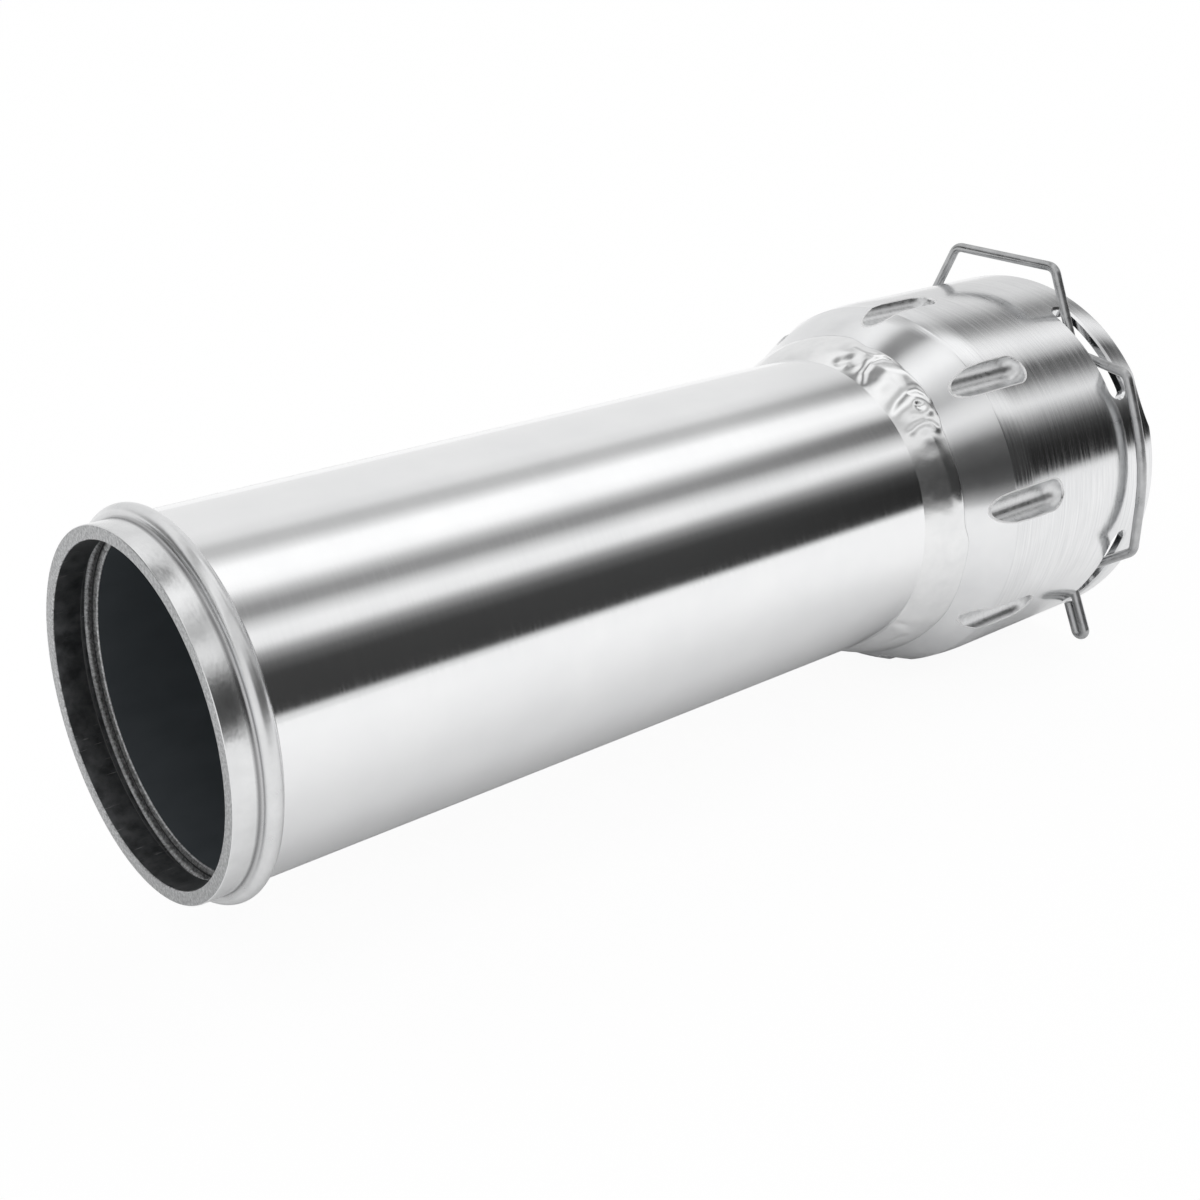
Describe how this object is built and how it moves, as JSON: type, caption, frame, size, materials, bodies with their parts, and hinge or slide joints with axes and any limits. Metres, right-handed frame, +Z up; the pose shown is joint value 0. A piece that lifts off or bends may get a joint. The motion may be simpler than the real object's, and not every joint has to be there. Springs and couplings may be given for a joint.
{
  "type": "intercooler tube",
  "caption": "Straight metal charge air tube with a rolled hose bead at one end and a welded quick release socket with a spring wire clip at the other.",
  "frame": {"origin": "centre of the tube's hose end, on its axis", "axes": "+X runs along the tube's axis from the hose end to the socket's mouth, +Z points up through the clip's pull loop, the picture looks from the -Y side"},
  "size_m": [0.2722, 0.1066, 0.1058],
  "materials": {
    "tube_metal": "polished",
    "collar_metal": "turned",
    "weld_metal": "polished",
    "seal_rubber": "matte",
    "clip_wire": "satin"
  },
  "bodies": {
    "root": {"tube": "tube_metal", "collar": "collar_metal", "weld_bead": "weld_metal", "seal_ring": "seal_rubber", "spring_clip": "clip_wire"}
  },
  "joints": []
}
